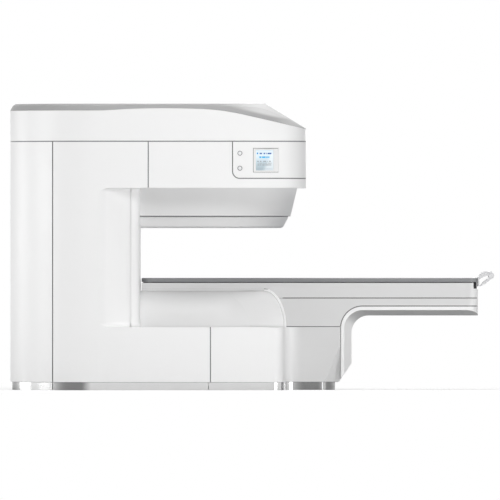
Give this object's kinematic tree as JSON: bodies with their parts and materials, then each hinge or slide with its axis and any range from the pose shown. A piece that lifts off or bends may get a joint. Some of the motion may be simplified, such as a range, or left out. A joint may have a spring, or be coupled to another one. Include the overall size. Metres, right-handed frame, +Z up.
{
  "type": "mri scanner",
  "caption": "Open C-shaped magnet with rounded covers, a gap between its two poles, and a cantilever patient table whose top slides out by hand.",
  "frame": {"origin": "on the floor, straight below the centre of the imaging field, on the middle levelling foot", "axes": "+X along the table to its foot end, +Z up, -Y to the side with the control panel"},
  "size_m": [3.0752, 1.405, 1.816],
  "materials": {
    "white_cover": "satin painted moulding",
    "crown_cover": "satin painted moulding",
    "grey_cover": "satin painted moulding",
    "table_panel": "satin painted moulding",
    "stainless": "bright stainless sheet",
    "yoke_steel": "primed steel",
    "magnet_block": "coated blocks",
    "coil_resin": "cast resin",
    "frame_steel": "powder coat",
    "zinc_steel": "zinc plated",
    "bezel": "fine texture",
    "screen": "lit panel",
    "dark_plastic": "fine texture",
    "button": "satin",
    "tabletop": "satin laminate",
    "pad": "wipe-clean upholstery",
    "rubber": "matt",
    "handle": "satin moulding",
    "rail_steel": "anodised"
  },
  "bodies": {
    "magnet": {"rear_cover": "white_cover", "rear_service_panel": "white_cover", "side_cover_left": "white_cover", "side_cover_right": "white_cover", "column_cover": "white_cover", "base_front_cover": "white_cover", "arm_front_cover": "white_cover", "control_fascia": "white_cover", "top_cover": "white_cover", "crown": "crown_cover", "upper_pole_housing": "grey_cover", "upper_pole_cap": "grey_cover", "lower_pole_cover": "grey_cover", "plinth_rear": "stainless", "plinth_left": "stainless", "plinth_right": "stainless", "plinth_front": "stainless", "plinth_toe": "stainless", "yoke_base": "yoke_steel", "yoke_column": "yoke_steel", "yoke_top": "yoke_steel", "yoke_bolts": "zinc_steel", "lower_magnet": "magnet_block", "upper_magnet": "magnet_block", "lower_pole_piece": "yoke_steel", "upper_pole_piece": "yoke_steel", "lower_gradient_coil": "coil_resin", "upper_gradient_coil": "coil_resin", "lower_rf_coil": "coil_resin", "upper_rf_coil": "coil_resin", "levelling_feet": "zinc_steel", "base_frame": "frame_steel", "top_frame": "frame_steel", "cover_posts": "frame_steel", "display_bezel": "bezel", "display_screen": "screen", "display_box": "dark_plastic", "button_rings": "stainless", "button_switches": "dark_plastic", "table_bulkhead": "table_panel", "beam_cover": "table_panel", "table_lower_cover": "table_panel", "foot_shell": "white_cover", "table_frame": "frame_steel", "guide_rails": "rail_steel", "end_stops": "rubber", "gap_seals": "rubber", "roller_brackets": "zinc_steel"},
    "tabletop": {"tabletop": "tabletop", "mattress_pad": "pad", "end_lip": "rubber", "push_handle": "handle", "guide_shoes": "dark_plastic"},
    "table_out_button": {"table_out_button": "button"},
    "stop_button": {"stop_button": "button"},
    "roller_1": {"roller_1": "dark_plastic"},
    "roller_2": {"roller_2": "dark_plastic"},
    "roller_3": {"roller_3": "dark_plastic"},
    "roller_4": {"roller_4": "dark_plastic"}
  },
  "joints": [
    {"name": "tabletop_slide", "type": "slide", "parent": "magnet", "child": "tabletop", "axis": [1, 0, 0], "range_m": [0, 0.7]},
    {"name": "table_out_press", "type": "slide", "parent": "magnet", "child": "table_out_button", "axis": [0, 1, 0], "range_m": [0, 0.003], "stiffness_N_per_m": 400},
    {"name": "stop_press", "type": "slide", "parent": "magnet", "child": "stop_button", "axis": [0, 1, 0], "range_m": [0, 0.003], "stiffness_N_per_m": 400},
    {"name": "roller_1_spin", "type": "hinge", "parent": "magnet", "child": "roller_1", "pos_m": [-0.4, 0, 0.6717], "axis": [0, 1, 0], "range_deg": [-10, 2900]},
    {"name": "roller_2_spin", "type": "hinge", "parent": "magnet", "child": "roller_2", "pos_m": [0.25, 0, 0.6717], "axis": [0, 1, 0], "range_deg": [-10, 2900]},
    {"name": "roller_3_spin", "type": "hinge", "parent": "magnet", "child": "roller_3", "pos_m": [0.9, 0, 0.6717], "axis": [0, 1, 0], "range_deg": [-10, 2900]},
    {"name": "roller_4_spin", "type": "hinge", "parent": "magnet", "child": "roller_4", "pos_m": [1.55, 0, 0.6717], "axis": [0, 1, 0], "range_deg": [-10, 2900]}
  ],
  "couplings": [
    {"joint": "roller_1_spin", "follows": "tabletop_slide", "rad_per_m": 71.429},
    {"joint": "roller_2_spin", "follows": "tabletop_slide", "rad_per_m": 71.429},
    {"joint": "roller_3_spin", "follows": "tabletop_slide", "rad_per_m": 71.429},
    {"joint": "roller_4_spin", "follows": "tabletop_slide", "rad_per_m": 71.429}
  ]
}
